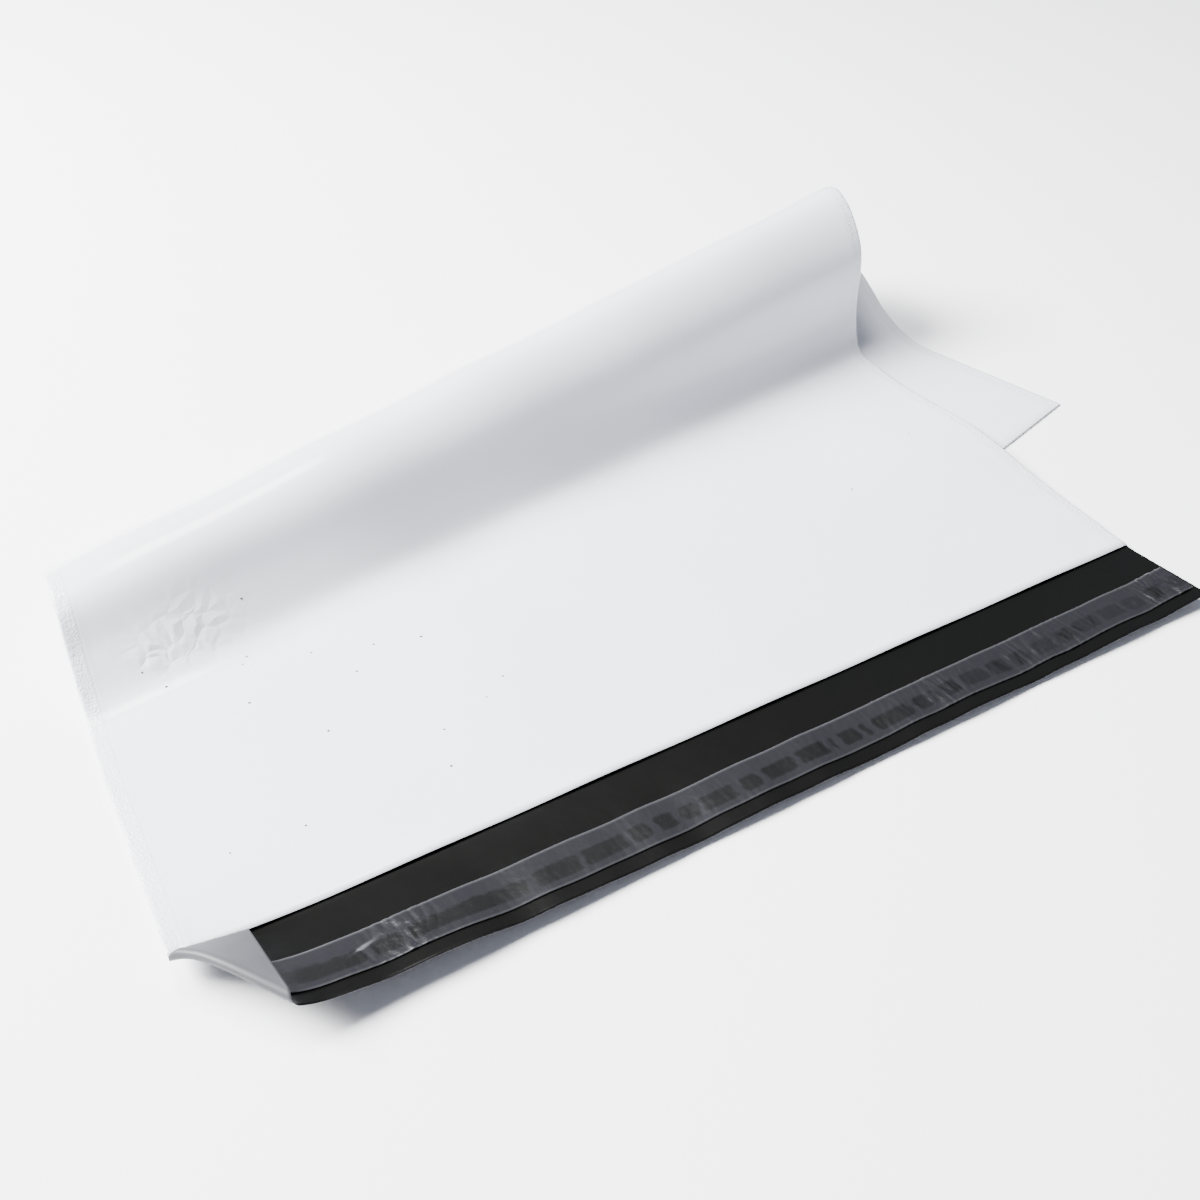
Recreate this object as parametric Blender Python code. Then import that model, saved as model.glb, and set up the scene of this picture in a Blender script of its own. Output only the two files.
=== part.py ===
"""Poly mailer bag: a film bag folded in half with a loose loop at the back.

Three bodies: the welded film bag, the adhesive strip on its closing flap and
the release liner over the strip. Metres, +Z up, mouth and flap toward -Y.
The bag is built flat in (u, v, w) and then laid into its folded form:
u runs across the bag, v from the mouth to the bottom fold, w through the film.
"""

from math import ceil, cos, exp, pi, radians, sin, sqrt

import bmesh
import bpy
import numpy as np
from mathutils import Vector

# Flat sizes of the bag.
BAG_WIDTH = 0.483
BAG_LENGTH = 0.610
FLAP_DEPTH = 0.048
FILM = 0.00035
CAVITY = 0.0005
SIDE_WELD = 0.006
END_WELD = 0.004

# Closing strip and its liner, on the flap's inner side.
STRIP_FROM_MOUTH = 0.0225
STRIP_WIDTH = 0.018
STRIP_THICK = 0.0003
STRIP_END_INSET = 0.003
LINER_OVERHANG = 0.0008
LINER_THICK = 0.0003
LINER_END_INSET = 0.0015
BOND_GAP = 0.0003

# Flap corner folded over at the left.
CORNER_ON_SIDE = 0.041
CORNER_ON_FREE_EDGE = 0.034
CORNER_ROLL = 0.0019
CORNER_TIP_ACROSS = 0.0285
CORNER_TIP_BACK = -0.0030
CORNER_TIP_HEIGHT = 0.0075

# Rise of the loose flap from the mouth line: curled left end, long slope,
# one soft bump and a raised right end.
MOUTH_BEND = 0.0025
MOUTH_RISE = 0.007
MOUTH_RISE_REACH = 0.022
CORNER_CURL = radians(40.0)
CORNER_CURL_REACH = 0.0186
FLAP_RISE = radians(21.0)
FLAP_RISE_REACH = 0.060
FLAP_BUMP = radians(4.0)
FLAP_BUMP_AT = 0.090
FLAP_BUMP_REACH = 0.025
RIGHT_RISE = radians(5.0)
RIGHT_RISE_REACH = 0.024
FLAP_WAVE = 0.0012
FLAP_WAVE_PITCH = 0.095

# The fold across the bag.
FOLD_TURN = radians(8.0)
SHEET_GAP = 0.0007
LEFT_FOOT = 0.1650
LEFT_CREST_HEIGHT = 0.0380
LEFT_CREST = 0.2250
LEFT_BACK = 0.2690
RIGHT_FOOT = 0.1690
RIGHT_CREST_HEIGHT = 0.0880
RIGHT_CREST = 0.2250
RIGHT_BACK = 0.2730
RIGHT_SOLE_HEIGHT = 0.0370
UNDER_CREASE = 0.3202
EDGE_HUMP = 0.0060
EDGE_HUMP_AT = 0.110
EDGE_HUMP_REACH = 0.042

# Mesh stations.
ACROSS_STEPS = 14
FLAP_STEPS = 9
CORNER_RINGS = 6
LOOP_STEPS = 48
FRONT_STEPS = 7
UNDER_STEPS = 4
CURVE_SAMPLES = 480
LOOP_FIRST = 39
LOOP_LAST = LOOP_FIRST + CURVE_SAMPLES - 1

BAG_THICK = 2.0 * FILM + CAVITY
HALF = BAG_WIDTH / 2.0
TOP_PLANE = BAG_THICK + SHEET_GAP + BAG_THICK / 2.0
UNDER_PLANE = BAG_THICK / 2.0
ALONG = np.array([cos(FOLD_TURN), sin(FOLD_TURN), 0.0])
BACKWARD = np.array([-sin(FOLD_TURN), cos(FOLD_TURN), 0.0])
UP = np.array([0.0, 0.0, 1.0])


def smooth(value):
    """Ease a value from 0 to 1."""
    value = min(max(value, 0.0), 1.0)
    return value * value * (3.0 - 2.0 * value)


def spline(keys, count):
    """Run a smooth curve through key points, evenly spaced by length."""
    keys = np.array(keys)
    first = 2.0 * keys[0] - keys[1]
    last = 2.0 * keys[-1] - keys[-2]
    pts = np.vstack([first, keys, last])
    out = []
    for i in range(1, len(pts) - 2):
        p0, p1, p2, p3 = pts[i - 1], pts[i], pts[i + 1], pts[i + 2]
        t0 = 0.0
        t1 = t0 + sqrt(float(np.linalg.norm(p1 - p0)))
        t2 = t1 + sqrt(float(np.linalg.norm(p2 - p1)))
        t3 = t2 + sqrt(float(np.linalg.norm(p3 - p2)))
        for k in range(60):
            t = t1 + (t2 - t1) * k / 60.0
            a1 = (t1 - t) / (t1 - t0) * p0 + (t - t0) / (t1 - t0) * p1
            a2 = (t2 - t) / (t2 - t1) * p1 + (t - t1) / (t2 - t1) * p2
            a3 = (t3 - t) / (t3 - t2) * p2 + (t - t2) / (t3 - t2) * p3
            b1 = (t2 - t) / (t2 - t0) * a1 + (t - t0) / (t2 - t0) * a2
            b2 = (t3 - t) / (t3 - t1) * a2 + (t - t1) / (t3 - t1) * a3
            out.append((t2 - t) / (t2 - t1) * b1 + (t - t1) / (t2 - t1) * b2)
    out.append(keys[-1])
    out = np.array(out)
    length = np.concatenate([[0.0], np.cumsum(np.linalg.norm(np.diff(out, axis=0), axis=1))])
    even = np.linspace(0.0, length[-1], count)
    return np.stack([np.interp(even, length, out[:, 0]), np.interp(even, length, out[:, 1])], axis=1)


def left_loop():
    """Low loop at the left end: back distance and height of the film's middle."""
    top, low, high = TOP_PLANE, UNDER_PLANE, LEFT_CREST_HEIGHT
    foot, crest, back = LEFT_FOOT, LEFT_CREST, LEFT_BACK
    rise = crest - foot
    fall = back - crest
    return [
        (foot - 0.030, top),
        (foot, top + 0.0005),
        (foot + 0.42 * rise, top + 0.42 * high),
        (foot + 0.70 * rise, 0.90 * high),
        (crest, high),
        (crest + 0.50 * fall, 0.70 * high),
        (back - 0.004, 0.30 * high),
        (back, 0.13 * high),
        (back - 0.010, low + 0.0004),
        (back - 0.040, low),
        (back - 0.070, low),
    ]


def right_loop():
    """Tall loop at the right end, held clear of the floor behind."""
    top, low, high = TOP_PLANE, UNDER_PLANE, RIGHT_CREST_HEIGHT
    foot, crest, back, sole = RIGHT_FOOT, RIGHT_CREST, RIGHT_BACK, RIGHT_SOLE_HEIGHT
    rise = crest - foot
    fall = back - crest
    return [
        (foot - 1.07 * rise, top),
        (foot - 0.20 * rise, top + 0.010 * high),
        (foot + 0.16 * rise, top + 0.045 * high),
        (foot + 0.335 * rise, 0.30 * high),
        (foot + 0.50 * rise, 0.75 * high),
        (crest, high),
        (crest + 0.62 * fall, high - 0.36 * (high - sole)),
        (back, sole + 0.26 * (high - sole)),
        (crest + 0.45 * fall, sole),
        (crest - 0.16 * rise, 0.98 * sole),
        (foot + 0.40 * rise, 0.38 * sole),
        (foot + 0.02 * rise, low + 0.05 * sole),
        (foot - 0.50 * rise, low),
        (foot - 0.90 * rise, low),
    ]


def seat_on_side(back, side, turned):
    """Flat distance along the side edge of a point seen in the fold's frame."""
    if turned:
        return (2.0 * UNDER_CREASE - back + side * sin(FOLD_TURN)) / cos(FOLD_TURN)
    return (back + side * sin(FOLD_TURN)) / cos(FOLD_TURN)


def edge_curve(keys, side):
    """One side edge: flat distance v and place in space, from flap to bottom."""
    loop = spline(keys, CURVE_SAMPLES)
    crest = int(np.argmax(loop[:, 1]))
    loop[:crest, 1] = np.maximum(loop[:crest, 1], TOP_PLANE)
    loop[crest:, 1] = np.maximum(loop[crest:, 1], UNDER_PLANE)
    v_first = seat_on_side(loop[0, 0], side, False)
    v_last = seat_on_side(loop[-1, 0], side, True)
    steps = np.concatenate([[0.0], np.cumsum(np.linalg.norm(np.diff(loop, axis=0), axis=1))])
    v_loop = v_first + (v_last - v_first) * steps / steps[-1]
    along_loop = side * cos(FOLD_TURN) + v_loop * sin(FOLD_TURN)
    v_front = np.linspace(-2.0 * FLAP_DEPTH, v_first, LOOP_FIRST + 1)[:-1]
    v_under = np.linspace(v_last, BAG_LENGTH + 0.02, LOOP_FIRST + 1)[1:]
    v_all = np.concatenate([v_front, v_loop, v_under])
    back_front = -side * sin(FOLD_TURN) + v_front * cos(FOLD_TURN)
    back_under = 2.0 * UNDER_CREASE + side * sin(FOLD_TURN) - v_under * cos(FOLD_TURN)
    back = np.concatenate([back_front, loop[:, 0], back_under])
    height = np.concatenate([0 * v_front + TOP_PLANE, loop[:, 1], 0 * v_under + UNDER_PLANE])
    along = side * cos(FOLD_TURN) + v_all * sin(FOLD_TURN)
    along[len(v_front):len(v_front) + len(v_loop)] = along_loop
    place = along[:, None] * ALONG + back[:, None] * BACKWARD + height[:, None] * UP
    return v_all, place


LEFT_V, LEFT_PLACE = edge_curve(left_loop(), -HALF)
RIGHT_V, RIGHT_PLACE = edge_curve(right_loop(), HALF)


def flap_angle(u):
    """Angle at which the loose flap rises from the mouth line."""
    across = max(u + HALF, 0.0)
    curl = CORNER_CURL * exp(-((across / CORNER_CURL_REACH) ** 1.5))
    slope = FLAP_RISE * exp(-across / FLAP_RISE_REACH)
    bump = FLAP_BUMP * exp(-(((across - FLAP_BUMP_AT) / FLAP_BUMP_REACH) ** 2))
    right = RIGHT_RISE * exp(-(HALF - u) / RIGHT_RISE_REACH)
    return curl + slope + bump + right


def small_forms(u, v):
    """Move of the loose film, back and up: rising flap, waves and edge hump."""
    near = smooth((u - HALF + 0.14) / 0.14)
    lift = EDGE_HUMP * near * exp(-(((v - EDGE_HUMP_AT) / EDGE_HUMP_REACH) ** 2))
    inward = max(v, 0.0) / MOUTH_RISE_REACH
    lift += MOUTH_RISE * exp(-max(u + HALF, 0.0) / MOUTH_RISE_REACH - inward * inward)
    if v >= 0.0:
        return np.array([0.0, 0.0, lift])
    run = sqrt(v * v + MOUTH_BEND * MOUTH_BEND) - MOUTH_BEND
    angle = flap_angle(u)
    wave = 0.5 - 0.5 * cos(2.0 * pi * (u + HALF) / FLAP_WAVE_PITCH)
    lift += run * sin(angle) + FLAP_WAVE * wave * smooth(-v / FLAP_DEPTH)
    return np.array([0.0, run * (1.0 - cos(angle)), lift])


def rest_place(u, v):
    """Place of a point of the film's middle surface in the folded bag."""
    part = (u + HALF) / BAG_WIDTH
    v_mix = LEFT_V * (1.0 - part) + RIGHT_V * part
    mix = LEFT_PLACE * (1.0 - part) + RIGHT_PLACE * part
    spot = np.array([np.interp(v, v_mix, mix[:, i]) for i in range(3)])
    return spot + small_forms(u, v)


def rest_frame(u, v):
    """Place and outward normal (front panel side) at a flat point."""
    step = 0.0012
    here = rest_place(u, v)
    du = rest_place(u + step, v) - rest_place(u - step, v)
    dv = rest_place(u, v + step) - rest_place(u, v - step)
    normal = np.cross(du, dv)
    return here, normal / np.linalg.norm(normal)


CREASE_A = np.array([-HALF, CORNER_ON_SIDE - FLAP_DEPTH])
CREASE_C = np.array([CORNER_ON_FREE_EDGE - HALF, -FLAP_DEPTH])
CREASE_RUN = (CREASE_C - CREASE_A) / np.linalg.norm(CREASE_C - CREASE_A)
CREASE_OUT = np.array([CREASE_RUN[1], -CREASE_RUN[0]])
CORNER_SPOT = np.array([-HALF, -FLAP_DEPTH]) - CREASE_A
CORNER_HEIGHT = float(np.dot(CORNER_SPOT, CREASE_OUT))
CORNER_ALONG = float(np.dot(CORNER_SPOT, CREASE_RUN))
ROLL_END = pi * CORNER_ROLL
TIP_PLACE = np.array(
    [CORNER_TIP_ACROSS - HALF, CORNER_TIP_BACK, TOP_PLANE + CORNER_TIP_HEIGHT]
)
FLAP_MIDDLE = FILM / 2.0
ROLLED_PART = ROLL_END / CORNER_HEIGHT
BASE_FROM = CORNER_ALONG * ROLLED_PART
BASE_TO = float(np.linalg.norm(CREASE_C - CREASE_A)) * (1.0 - ROLLED_PART) + BASE_FROM


def on_crease(along, out, rise):
    """Place of the turned film over a point of the crease line."""
    here, normal = rest_frame(*(CREASE_A + CREASE_RUN * along + CREASE_OUT * out))
    return here + normal * (FLAP_MIDDLE + rise - BAG_THICK / 2.0)


def lay(u, v, w):
    """Lay a flat point into the folded form.

    The turned corner first rolls round its crease and then runs out to its
    tip, growing flatter on the way.
    """
    flat = np.array([u, v]) - CREASE_A
    past = float(np.dot(flat, CREASE_OUT))
    if past <= 0.0 or v >= 0.0:
        here, normal = rest_frame(u, v)
        return here + normal * (w - BAG_THICK / 2.0)
    above = w - FLAP_MIDDLE
    along = float(np.dot(flat, CREASE_RUN))
    tip = max(past - ROLL_END, 0.0) / (CORNER_HEIGHT - ROLL_END)
    along = CORNER_ALONG + (along - CORNER_ALONG) / max(1.0 - tip, 0.001)
    turn = min(past, ROLL_END) / CORNER_ROLL
    out = (CORNER_ROLL - above) * sin(turn)
    rise = CORNER_ROLL - (CORNER_ROLL - above) * cos(turn)
    rolled = on_crease(along, out, rise)
    if tip > 0.0:
        share = (along - BASE_FROM) / (BASE_TO - BASE_FROM)
        first, last = on_crease(BASE_FROM, 0.0, rise), on_crease(BASE_TO, 0.0, rise)
        rolled = rolled * (1.0 - tip) + (first * (1.0 - share) + last * share) * tip
    return rolled * (1.0 - tip) + (TIP_PLACE - UP * above) * tip


def clear_scene():
    """Empty the file of objects and meshes."""
    for old in list(bpy.data.objects):
        bpy.data.objects.remove(old, do_unlink=True)
    for mesh in list(bpy.data.meshes):
        bpy.data.meshes.remove(mesh)


def collection(name):
    """Make a collection in the scene."""
    made = bpy.data.collections.new(name)
    bpy.context.scene.collection.children.link(made)
    return made


def material(name, colour, roughness):
    """One plain surface material."""
    made = bpy.data.materials.new(name)
    made.use_nodes = True
    shader = made.node_tree.nodes["Principled BSDF"]
    shader.inputs["Base Color"].default_value = (*colour, 1.0)
    shader.inputs["Roughness"].default_value = roughness
    made.diffuse_color = (*colour, 1.0)
    return made


def box(name, low, high, home):
    """A box from one corner to the other."""
    bpy.ops.mesh.primitive_cube_add(size=1.0)
    made = bpy.context.active_object
    made.name = name
    made.data.name = name
    size = [h - l for l, h in zip(low, high)]
    middle = [(h + l) / 2.0 for l, h in zip(low, high)]
    for vertex in made.data.vertices:
        vertex.co = Vector([vertex.co[i] * size[i] + middle[i] for i in range(3)])
    for old in list(made.users_collection):
        old.objects.unlink(made)
    home.objects.link(made)
    return made


def combine(target, tool, operation):
    """Join or cut two boxes exactly and keep the tool as a hidden cutter."""
    mod = target.modifiers.new(operation.lower(), "BOOLEAN")
    mod.operation = operation
    mod.solver = "EXACT"
    mod.object = tool
    bpy.context.view_layer.objects.active = target
    bpy.ops.object.modifier_apply(modifier=mod.name)
    tool.hide_render = True
    tool.display_type = "WIRE"


def cut(work, where, facing, reach=None):
    """Score the solid along one plane, as far back as the given reach."""
    faces = list(work.faces)
    if reach is not None:
        faces = [f for f in faces if all(v.co.y < reach + 1e-7 for v in f.verts)]
    parts = set(faces)
    for face in faces:
        parts.update(face.edges)
        parts.update(face.verts)
    bmesh.ops.bisect_plane(
        work, geom=list(parts), dist=1e-7, plane_co=where, plane_no=facing
    )


def across_stations():
    """Positions across the bag that carry a row of vertices."""
    return [-HALF + BAG_WIDTH * i / ACROSS_STEPS for i in range(1, ACROSS_STEPS)]


def mouth_stations():
    """Closer rows behind and beside the raised corner of the mouth."""
    return [MOUTH_RISE_REACH * share for share in (0.4, 0.9, 1.5)]


def corner_stations():
    """Closer rows over the curled and the sloping end of the flap."""
    curled = 2.0 * CORNER_CURL_REACH
    sloped = 2.0 * FLAP_RISE_REACH
    fine = ceil(curled / 0.0025)
    plain = ceil((sloped - curled) / 0.008)
    rows = [curled * i / fine for i in range(1, fine + 1)]
    rows += [curled + (sloped - curled) * i / plain for i in range(1, plain + 1)]
    return [row - HALF for row in rows]


def along_stations():
    """Straight lines over the flat bag, each from its left to its right end."""
    flap = [-MOUTH_BEND] + [-FLAP_DEPTH * i / FLAP_STEPS for i in range(1, FLAP_STEPS)]
    level = [(v, v) for v in flap + [0.0]]
    loop_rows = np.linspace(LOOP_FIRST, LOOP_LAST, LOOP_STEPS + 1)
    order = np.arange(len(LEFT_V))
    loop = [
        (float(np.interp(row, order, LEFT_V)), float(np.interp(row, order, RIGHT_V)))
        for row in loop_rows
    ]
    first, last = loop[0], loop[-1]
    front = [
        (first[0] * i / FRONT_STEPS, first[1] * i / FRONT_STEPS) for i in range(1, FRONT_STEPS)
    ]
    under = []
    for i in range(1, UNDER_STEPS):
        part = i / UNDER_STEPS
        left = last[0] + (BAG_LENGTH - last[0]) * part
        right = last[1] + (BAG_LENGTH - last[1]) * part
        under.append((left, right))
    return level + front + loop + under


def finish(target):
    """Score, lay and close one flat solid."""
    work = bmesh.new()
    work.from_mesh(target.data)
    for u in across_stations():
        cut(work, (u, 0.0, 0.0), (1.0, 0.0, 0.0))
    for v in mouth_stations():
        cut(work, (0.0, v, 0.0), (0.0, 1.0, 0.0))
    for v in mouth_stations():
        cut(work, (v - HALF, 0.0, 0.0), (1.0, 0.0, 0.0), reach=mouth_stations()[-1])
    for u in corner_stations():
        cut(work, (u, 0.0, 0.0), (1.0, 0.0, 0.0), reach=0.0)
    for left, right in along_stations():
        cut(work, (-HALF, left, 0.0), (left - right, BAG_WIDTH, 0.0))
    bends = [ROLL_END * i / CORNER_RINGS for i in range(CORNER_RINGS + 1)]
    flat = CORNER_HEIGHT - bends[-1]
    bends += [bends[-1] + flat * i / 3.0 for i in (1, 2)]
    for past in bends:
        spot = CREASE_A + CREASE_OUT * past
        cut(work, (*spot, 0.0), (*CREASE_OUT, 0.0), reach=0.0)
    for vertex in work.verts:
        vertex.co = Vector(lay(*vertex.co))
    bmesh.ops.recalc_face_normals(work, faces=list(work.faces))
    bmesh.ops.triangulate(work, faces=[f for f in work.faces if len(f.verts) > 4])
    work.to_mesh(target.data)
    work.free()
    target.data.update()


def strip_box(name, home, inset, side, low, thick):
    """A long thin strip on the flap."""
    v_top = -STRIP_FROM_MOUTH + side
    v_low = -STRIP_FROM_MOUTH - STRIP_WIDTH - side
    return box(name, (-HALF + inset, v_low, low), (HALF - inset, v_top, low + thick), home)


def centre(objects):
    """Set the middle of the footprint on the origin and the lowest point on zero."""
    low = Vector((1e9, 1e9, 1e9))
    high = Vector((-1e9, -1e9, -1e9))
    for item in objects:
        for vertex in item.data.vertices:
            for i in range(3):
                low[i] = min(low[i], vertex.co[i])
                high[i] = max(high[i], vertex.co[i])
    shift = Vector((-(low.x + high.x) / 2.0, -(low.y + high.y) / 2.0, -low.z))
    for item in objects:
        for vertex in item.data.vertices:
            vertex.co += shift


def build():
    """Build the three bodies."""
    clear_scene()
    home = collection("poly_mailer_bag")
    cutters = collection("cutters")

    bag = box("film_bag", (-HALF, 0.0, 0.0), (HALF, BAG_LENGTH, BAG_THICK), home)
    flap = box("flap_blank", (-HALF, -FLAP_DEPTH, 0.0), (HALF, SIDE_WELD, FILM), cutters)
    combine(bag, flap, "UNION")
    inside = box(
        "inside_blank",
        (-HALF + SIDE_WELD, -0.004, FILM),
        (HALF - SIDE_WELD, BAG_LENGTH - END_WELD, FILM + CAVITY),
        cutters,
    )
    combine(bag, inside, "DIFFERENCE")
    finish(bag)
    bag.data.materials.clear()
    bag.data.materials.append(material("white_film", (0.84, 0.85, 0.87), 0.32))

    strip_low = FILM + BOND_GAP
    strip = strip_box("adhesive_strip", home, STRIP_END_INSET, 0.0, strip_low, STRIP_THICK)
    finish(strip)
    strip.data.materials.append(material("adhesive", (0.10, 0.10, 0.11), 0.45))

    liner_low = strip_low + STRIP_THICK + BOND_GAP
    liner = strip_box(
        "release_liner", home, LINER_END_INSET, LINER_OVERHANG, liner_low, LINER_THICK
    )
    finish(liner)
    liner.data.materials.append(material("liner_film", (0.13, 0.14, 0.16), 0.22))

    centre([bag, strip, liner])


build()
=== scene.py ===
"""Visual model of a folded poly mailer bag on a pale floor.

The film web, the adhesive strip and the release liner are each laid from their
flat shape into the folded bag by one shared map, and a small studio lights them.
Lengths are in metres and angles in radians, +Z is up, and the mouth and flap are
toward -Y. On the flat bag u runs across from its middle, and v runs from the
mouth to the bottom fold and is below zero on the flap.
"""

from __future__ import annotations

import logging
from dataclasses import dataclass
from enum import Enum
from math import cos, pi, radians, sin
from typing import Any, Mapping, Sequence

import bpy
import numpy as np
from mathutils import Matrix, Vector


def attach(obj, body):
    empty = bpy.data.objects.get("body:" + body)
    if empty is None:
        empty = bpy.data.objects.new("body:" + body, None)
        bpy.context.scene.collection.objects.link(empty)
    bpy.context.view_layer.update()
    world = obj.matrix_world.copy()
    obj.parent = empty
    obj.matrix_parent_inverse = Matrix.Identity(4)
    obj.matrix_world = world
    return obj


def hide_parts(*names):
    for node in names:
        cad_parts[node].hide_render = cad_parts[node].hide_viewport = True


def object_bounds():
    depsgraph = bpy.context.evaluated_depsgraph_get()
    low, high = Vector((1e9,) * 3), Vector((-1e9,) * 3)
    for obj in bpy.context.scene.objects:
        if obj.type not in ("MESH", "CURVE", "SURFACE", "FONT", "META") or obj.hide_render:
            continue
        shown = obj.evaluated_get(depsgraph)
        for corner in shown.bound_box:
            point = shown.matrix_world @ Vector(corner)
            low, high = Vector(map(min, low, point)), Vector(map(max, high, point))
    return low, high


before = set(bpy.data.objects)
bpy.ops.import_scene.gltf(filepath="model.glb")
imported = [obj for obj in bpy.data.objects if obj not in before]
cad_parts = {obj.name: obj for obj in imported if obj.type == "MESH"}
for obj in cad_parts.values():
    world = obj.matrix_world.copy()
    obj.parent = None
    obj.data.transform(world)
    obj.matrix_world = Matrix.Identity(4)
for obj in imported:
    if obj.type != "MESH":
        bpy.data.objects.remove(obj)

LOG = logging.getLogger("poly_mailer")
CAD_LOW, CAD_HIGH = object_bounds()
MM_IN_METRE = 1000.0


class Side(Enum):
    """Which end of the fold a curve belongs to."""

    LEFT = "left"
    RIGHT = "right"


class Panel(Enum):
    """Which run of the film web a row of vertices lies on."""

    FLAP = "flap"
    BACK = "back"
    TURN = "turn"
    FRONT = "front"


class Seed(Enum):
    """One fixed seed for each random pattern."""

    SWELL = 11
    LOOP_WAVE = 23
    CRINKLE = 5
    SCUFF = 9
    CUT_EDGE = 4
    PUCKER = 31
    FINE_PUCKER = 33
    LINER_EDGE = 3
    LINER_CREASE = 17
    WINDOWS = 21
    WINDOW_EDGE = 6
    FLECKS = 8


@dataclass(frozen=True)
class Finish:
    """Plain surface values of one material.

    Attributes:
        name: Material name.
        colour: sRGB colour as six hex digits.
        roughness: Microfacet roughness.
        specular: Specular level.
        coat: Weight of the clear top gloss.
        coat_roughness: Roughness of the top gloss.
    """

    name: str
    colour: str
    roughness: float
    specular: float = 0.5
    coat: float = 0.0
    coat_roughness: float = 0.2


@dataclass(frozen=True)
class BagSizes:
    """Flat sizes of the bag.

    Attributes:
        width: Across the mouth.
        length: From the mouth to the bottom fold.
        flap: From the mouth to the flap's free edge.
        body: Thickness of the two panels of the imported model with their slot.
        film: Thickness of the film.
        panel_gap: From the middle surface to a panel's inner side.
        weld: Width of a side weld.
        strip_from_mouth: From the mouth to the adhesive strip.
        strip_width: Width of the strip.
        strip_inset: Bare flap at each end of the strip.
        liner_over: Liner past each side of the strip.
        liner_inset: Bare flap at each end of the liner.
    """

    width: float = 0.483
    length: float = 0.610
    flap: float = 0.048
    body: float = 0.0012
    film: float = 0.00012
    panel_gap: float = 0.00038
    weld: float = 0.006
    strip_from_mouth: float = 0.0225
    strip_width: float = 0.018
    strip_inset: float = 0.003
    liner_over: float = 0.0008
    liner_inset: float = 0.0015

    @property
    def half(self) -> float:
        """Half of the width."""
        return self.width / 2.0

    @property
    def film_level(self) -> float:
        """Level of the back panel and flap, from the middle surface."""
        return -self.panel_gap - self.film


@dataclass(frozen=True)
class FoldSizes:
    """Sizes of the fold, the loop, the turned corner and the loose film."""

    # How the two halves lie: the turn of the fold, the gap between the halves and
    # the place of the fold from the mouth.
    turn: float = radians(8.0)
    sheet_gap: float = 0.0007
    crease: float = 0.3202

    # The loop's two ends: where it leaves the sheet, its crest and its back, from
    # the mouth, its height, and at the right the level of its hanging back.
    left_foot: float = 0.1650
    left_height: float = 0.0380
    left_crest: float = 0.2250
    left_back: float = 0.2690
    right_foot: float = 0.1690
    right_height: float = 0.0880
    right_crest: float = 0.2250
    right_back: float = 0.2730
    right_sole: float = 0.0370

    # The turned corner: its crease on the side and on the free edge, the radius of
    # its roll, and where its tip comes to lie.
    corner_side: float = 0.041
    corner_free: float = 0.034
    corner_roll: float = 0.0019
    tip_across: float = 0.0285
    tip_back: float = -0.0030
    tip_height: float = 0.0075

    # The mouth: the radius at which the flap bends off it, and its raised corner.
    mouth_bend: float = 0.0025
    mouth_rise: float = 0.007
    mouth_reach: float = 0.022

    # The flap's rise: angles at its left end, beside it and at its right end.
    curl: float = radians(40.0)
    curl_reach: float = 0.0186
    curl_power: float = 1.5
    rise: float = radians(21.0)
    rise_reach: float = 0.060
    bump: float = radians(4.0)
    bump_at: float = 0.090
    bump_reach: float = 0.025
    right_rise: float = radians(5.0)
    right_reach: float = 0.024

    # Waves of the flap's free edge, and the short frill over them.
    wave: float = 0.0012
    wave_pitch: float = 0.095
    frill: float = 0.00045
    frill_long: float = 0.0067
    frill_long_share: float = 0.6
    frill_short: float = 0.0041
    frill_short_share: float = 0.4
    frill_phase: float = 1.3

    # The hump of the right side edge.
    hump: float = 0.0060
    hump_at: float = 0.110
    hump_reach: float = 0.042
    hump_across: float = 0.14


@dataclass(frozen=True)
class ReliefSizes:
    """Heights and pitches of the panels' small forms, and where they fade."""

    swell: float = 0.00055
    swell_pitch: float = 0.120
    loop_wave: float = 0.0009
    loop_wave_pitch: float = 0.085
    loop_wave_stretch: float = 0.35
    crinkle: float = 0.00042
    crinkle_pitch: float = 0.011
    scuff: float = 0.00022
    scuff_pitch: float = 0.016

    # They fade toward the mouth, and along the loop by rows of the edge tables.
    mouth_bare: float = 0.004
    mouth_fade: float = 0.03
    under_rows: float = 150.0
    under_fade: float = 90.0
    foot_rows: float = 25.0
    foot_fade: float = 60.0


@dataclass(frozen=True)
class Patch:
    """An oval patch of influence on the flat bag.

    Attributes:
        place: Its middle, across and along.
        reach: Its half sizes.
        turn: Angle of its long side.
        weight: Its value in the middle.
    """

    place: tuple[float, float]
    reach: tuple[float, float]
    turn: float
    weight: float = 1.0

    def at(self, u: np.ndarray, v: np.ndarray) -> np.ndarray:
        """Value of the patch at flat points.

        Args:
            u: Positions across.
            v: Positions along.

        Returns:
            Values from 0 to the weight.
        """
        du, dv = u - self.place[0], v - self.place[1]
        a = du * cos(self.turn) + dv * sin(self.turn)
        b = -du * sin(self.turn) + dv * cos(self.turn)
        return self.weight * np.exp(-(a / self.reach[0]) ** 2 - (b / self.reach[1]) ** 2)


BAG = BagSizes()
FOLD = FoldSizes()
RELIEF = ReliefSizes()

# The crumpled place at the loop's left foot, as geometry and as finer relief, and
# the faint scuffs on the loop's right half.
CRINKLES = (
    Patch((-0.190, 0.176), (0.022, 0.022), 0.5),
    Patch((-0.209, 0.172), (0.007, 0.009), 0.4, 0.8),
    Patch((-0.166, 0.199), (0.012, 0.005), 0.3, 0.5),
)
FINE_CRINKLES = (
    Patch((-0.190, 0.178), (0.020, 0.020), 0.5),
    Patch((-0.209, 0.172), (0.006, 0.008), 0.4),
)
SCUFFS = (
    Patch((0.09, 0.245), (0.060, 0.020), 0.2),
    Patch((-0.02, 0.235), (0.050, 0.015), 0.2, 0.7),
)

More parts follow.
